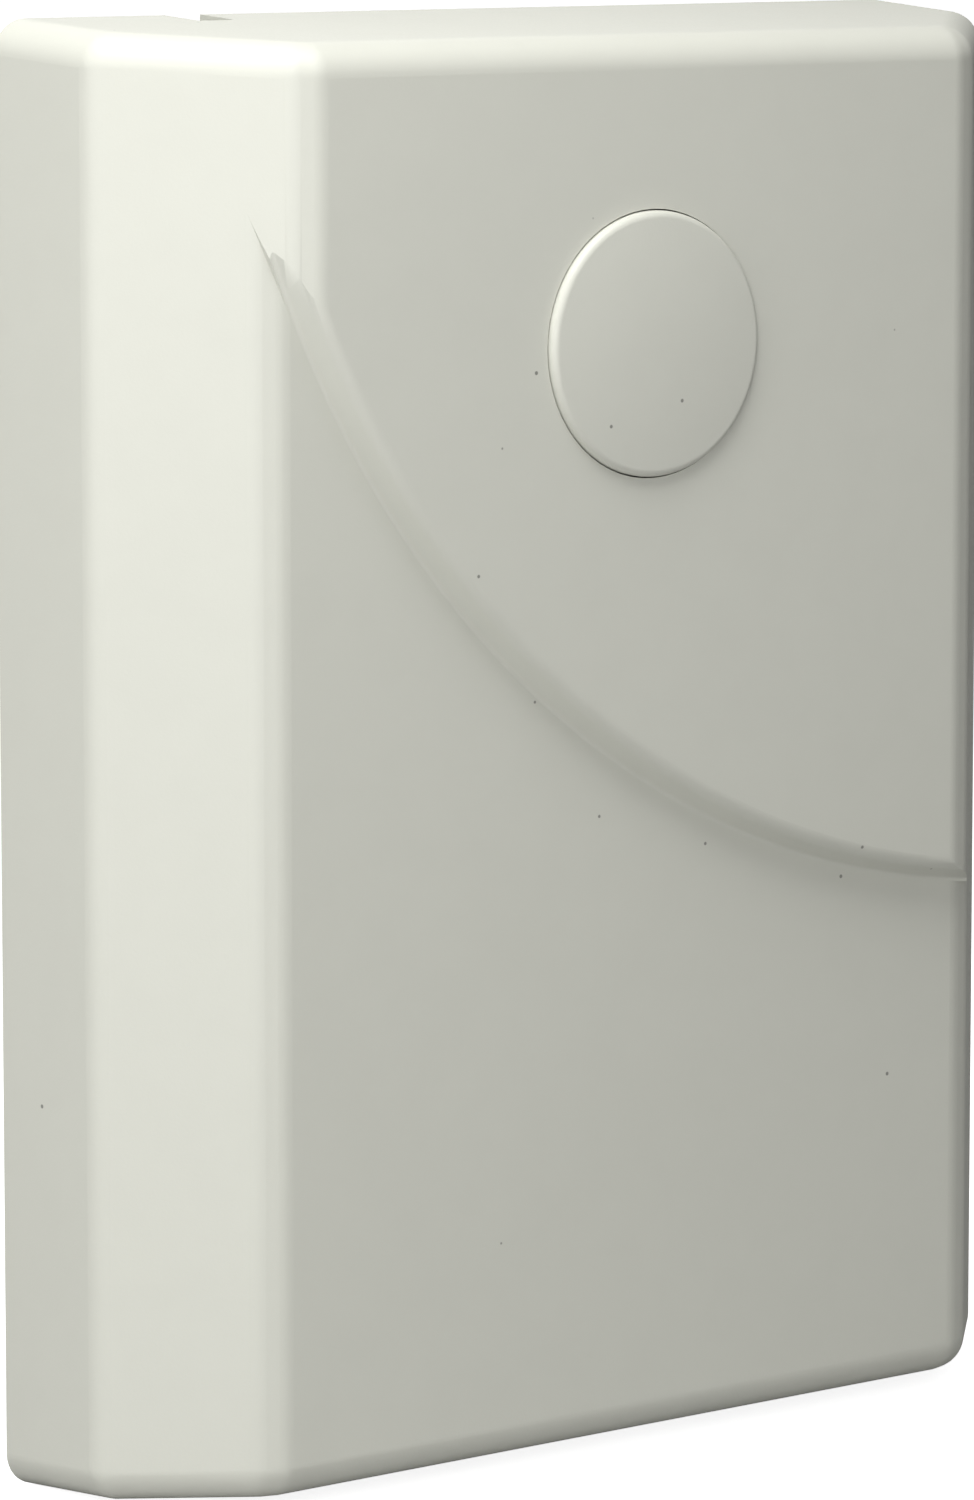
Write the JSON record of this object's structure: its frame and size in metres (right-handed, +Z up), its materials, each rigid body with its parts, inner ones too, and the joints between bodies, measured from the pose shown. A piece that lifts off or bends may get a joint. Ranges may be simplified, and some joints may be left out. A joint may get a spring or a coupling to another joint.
{
  "type": "wireless door chime",
  "caption": "Wall-hung battery door chime: tapered off-white casing with chamfered sides, a raised panel edged by a sweeping step, and one round push button.",
  "frame": {"origin": "centre of the back face, on the wall", "axes": "+Z up, the front faces -Y, +X to the right as seen from the front"},
  "size_m": [0.12, 0.0321, 0.15],
  "materials": {
    "casing": "fine moulded satin, warm off-white ABS",
    "inner_plastic": "moulded nylon, dark grey",
    "zinc_steel": "zinc-plated screws and springs",
    "board_green": "solder-masked fibreglass board",
    "black_plastic": "moulded black component plastic",
    "knob_white": "moulded acetal",
    "copper": "enamelled copper wire",
    "capacitor_sleeve": "shrunk sleeve over an aluminium can",
    "crystal_can": "plated steel can",
    "basket_steel": "blackened pressed steel",
    "cone_paper": "pressed paper cone",
    "foam": "soft foam ring",
    "lead_sleeve": "soft coloured wire insulation",
    "cell_jacket": "printed-free plastic jacket over a steel can"
  },
  "bodies": {
    "base": {"back_plate": "casing", "circuit_board": "board_green", "board_screws": "zinc_steel", "switch_body": "black_plastic", "volume_switch": "black_plastic", "melody_chip": "black_plastic", "receiver_can": "zinc_steel", "antenna_coil": "copper", "capacitors": "capacitor_sleeve", "crystal": "crystal_can", "chip_resistors": "black_plastic", "speaker_frame": "basket_steel", "speaker_magnet": "basket_steel", "speaker_cone": "cone_paper", "speaker_gasket": "foam", "speaker_screws": "zinc_steel", "battery_cells": "cell_jacket", "battery_springs": "zinc_steel", "contact_plates": "zinc_steel", "speaker_leads": "lead_sleeve", "battery_leads": "lead_sleeve"},
    "cover": {"front_cover": "casing", "button_retainer": "inner_plastic", "retainer_screws": "zinc_steel", "button_spring": "zinc_steel"},
    "button": {"push_button": "casing"},
    "plunger": {"switch_plunger": "knob_white"},
    "knob": {"volume_knob": "knob_white"}
  },
  "joints": [
    {"name": "cover_lift", "type": "slide", "parent": "base", "child": "cover", "axis": [0, -1, 0], "range_m": [0, 0.06]},
    {"name": "button_press", "type": "slide", "parent": "cover", "child": "button", "axis": [0, 1, 0], "range_m": [0, 0.001], "stiffness_N_per_m": 900, "springref_m": -0.0005, "deforming": ["button_spring"]},
    {"name": "plunger_press", "type": "slide", "parent": "base", "child": "plunger", "axis": [0, 1, 0], "range_m": [0, 0.001]},
    {"name": "volume_slide", "type": "slide", "parent": "base", "child": "knob", "axis": [1, 0, 0], "range_m": [-0.002, 0.002]}
  ],
  "couplings": [
    {"joint": "plunger_press", "follows": "button_press", "ratio": 1}
  ]
}
